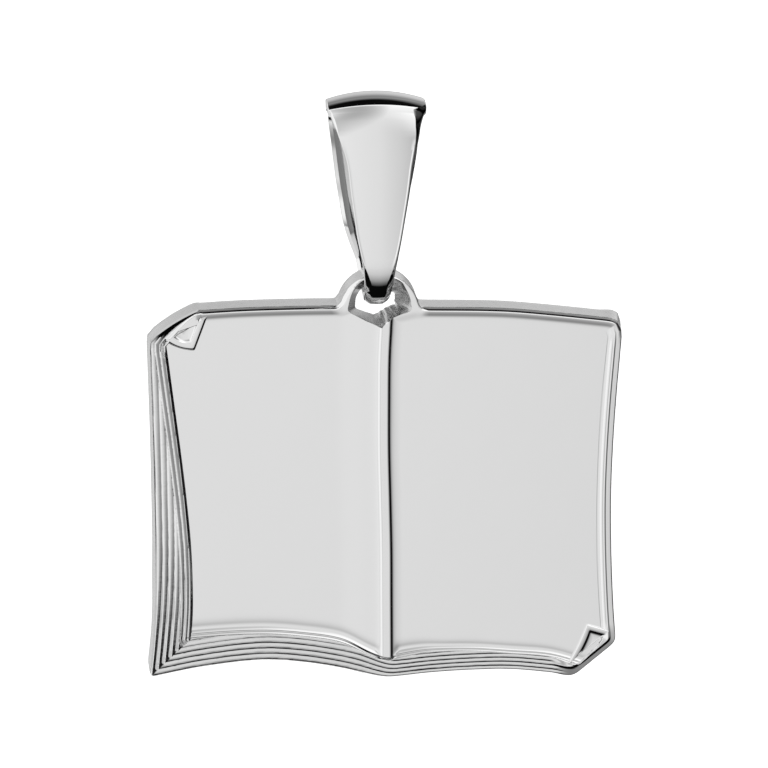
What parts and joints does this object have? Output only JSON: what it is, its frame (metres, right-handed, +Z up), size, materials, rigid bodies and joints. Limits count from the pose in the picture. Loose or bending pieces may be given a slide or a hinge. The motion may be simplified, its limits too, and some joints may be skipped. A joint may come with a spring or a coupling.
{
  "type": "open-book pendant on a bail",
  "caption": "Small cast pendant shaped as an open book, with a loop that hangs and swings in a folded, tapered bail.",
  "frame": {"origin": "the chain's seat: the middle of the inside of the bail's top bend, where the chain carries the pendant", "axes": "+X to the wearer's left, which is the viewer's right, along the chain; +Y to the back; +Z up. The pendant hangs along -Z and its pages face -Y."},
  "size_m": [0.0222, 0.0034, 0.0284],
  "materials": {
    "bail_silver": "mirror-polished, rhodium-plated sterling silver",
    "book_silver": "polished, rhodium-plated sterling silver casting with fine lines on the page stacks"
  },
  "bodies": {
    "bail": {"bail": "bail_silver"},
    "book": {"book": "book_silver"}
  },
  "joints": [
    {"name": "book_swing", "type": "hinge", "parent": "bail", "child": "book", "pos_m": [0, 0, -0.0082], "axis": [1, 0, 0], "range_deg": [-90, 90]}
  ]
}
